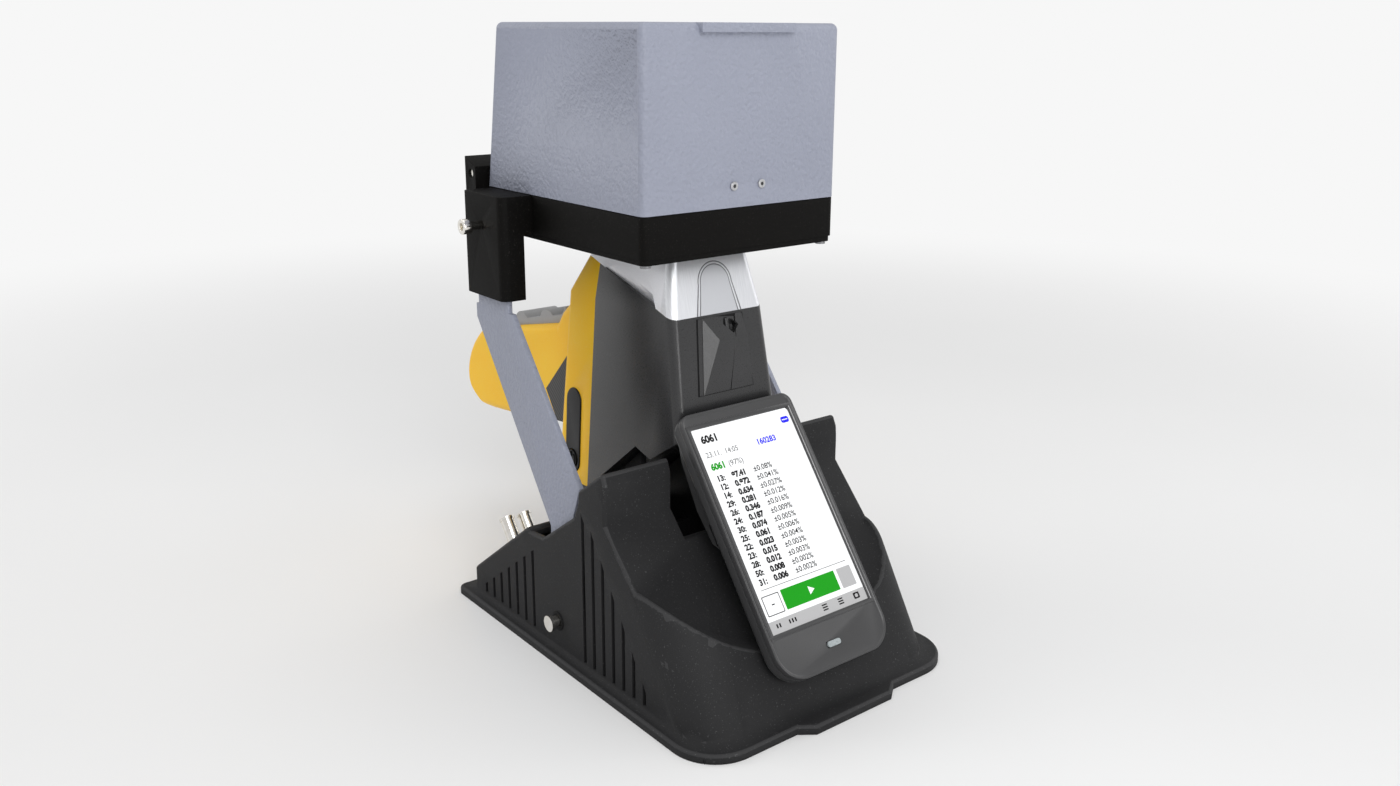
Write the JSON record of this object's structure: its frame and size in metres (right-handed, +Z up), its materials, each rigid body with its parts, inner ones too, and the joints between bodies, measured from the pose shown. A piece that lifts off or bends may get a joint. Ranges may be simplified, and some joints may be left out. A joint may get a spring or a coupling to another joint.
{
  "type": "handheld X-ray fluorescence analyzer in a bench stand",
  "caption": "Pistol-grip XRF analyzer docked nose up in a bench stand, with a tilting display and a lidded sample chamber on swinging arms.",
  "frame": {"origin": "on the bench, under the middle of the stand's flange", "axes": "+Z up, +Y to the rear where the analyzer's grip points, +X to the right seen from the display side"},
  "size_m": [0.193, 0.3702, 0.344],
  "materials": {
    "housing_black": "fine moulded grain, charcoal black",
    "plate_steel": "black painted sheet steel",
    "screw_steel": "black oxide, satin",
    "socket_chrome": "polished plating",
    "powder_grey": "blue-grey powder coat with an orange-peel surface",
    "tray_black": "aluminium under a near-black fine texture coat",
    "window_metal": "bead blasted",
    "film": "thin amber polymer film",
    "nose_cast": "cast, front and facets brushed",
    "body_dark": "dark grey satin moulding",
    "band_yellow": "yellow moulding with a fine grain",
    "dark_trim": "dark grey soft-touch",
    "grip_grey": "light grey soft rubber",
    "display_case": "dark grey satin",
    "display_glass": "lit display under clear glass",
    "led": "translucent light pipe"
  },
  "bodies": {
    "stand": {"base_housing": "housing_black", "base_plate": "plate_steel", "base_screws": "screw_steel", "body_shell": "body_dark", "cradle": "housing_black", "front_panel": "body_dark", "grip_core": "grip_grey", "grip_left": "band_yellow", "grip_pad": "grip_grey", "grip_right": "band_yellow", "grip_web_left": "dark_trim", "grip_web_right": "dark_trim", "keypad": "dark_trim", "nose_casting": "nose_cast", "nose_plate": "window_metal", "pivot_pin_left": "socket_chrome", "pivot_pin_right": "socket_chrome", "rear_band": "band_yellow", "rear_socket_1": "socket_chrome", "rear_socket_2": "socket_chrome", "socket_nut_1": "socket_chrome", "socket_nut_2": "socket_chrome", "strap_bar": "dark_trim", "tail_cap": "body_dark", "tilt_leaf": "body_dark"},
    "stage": {"arm_left": "powder_grey", "arm_right": "powder_grey", "bracket_left": "tray_black", "bracket_right": "tray_black", "bracket_screw_left": "screw_steel", "bracket_screw_right": "screw_steel", "sample_tray": "tray_black", "tray_plate": "tray_black", "tray_screws": "screw_steel", "window_film": "film", "window_ring": "window_metal", "hinge_post_left": "tray_black", "hinge_post_right": "tray_black", "hinge_rod": "socket_chrome"},
    "lid": {"chamber_lid": "powder_grey", "lid_striker": "tray_black", "striker_screws": "screw_steel", "lid_knuckle_left": "powder_grey", "lid_knuckle_right": "powder_grey"},
    "display": {"display_back": "display_case", "display_bezel": "display_case", "display_glass": "display_glass", "status_led": "led", "tilt_pin": "socket_chrome"},
    "trigger": {"trigger": "dark_trim"},
    "power_button": {"power_button": "dark_trim"}
  },
  "joints": [
    {"name": "arm_swing", "type": "hinge", "parent": "stand", "child": "stage", "pos_m": [0, 0.0167, 0.0217], "axis": [-1, 0, 0], "range_deg": [0, 17]},
    {"name": "lid_hinge", "type": "hinge", "parent": "stage", "child": "lid", "pos_m": [0, 0.1185, 0.26], "axis": [-1, 0, 0], "range_deg": [0, 75]},
    {"name": "display_tilt", "type": "hinge", "parent": "stand", "child": "display", "pos_m": [0, -0.03349, 0.13307], "axis": [-1, 0, 0], "range_deg": [0, 12]},
    {"name": "trigger_pull", "type": "slide", "parent": "stand", "child": "trigger", "axis": [0, 0, -1], "range_m": [0, 0.004], "stiffness_N_per_m": 1200, "springref_m": -0.001},
    {"name": "power_press", "type": "slide", "parent": "stand", "child": "power_button", "axis": [0.9986, 0, -0.0524], "range_m": [0, 0.0008], "stiffness_N_per_m": 2000, "springref_m": -0.0005}
  ]
}
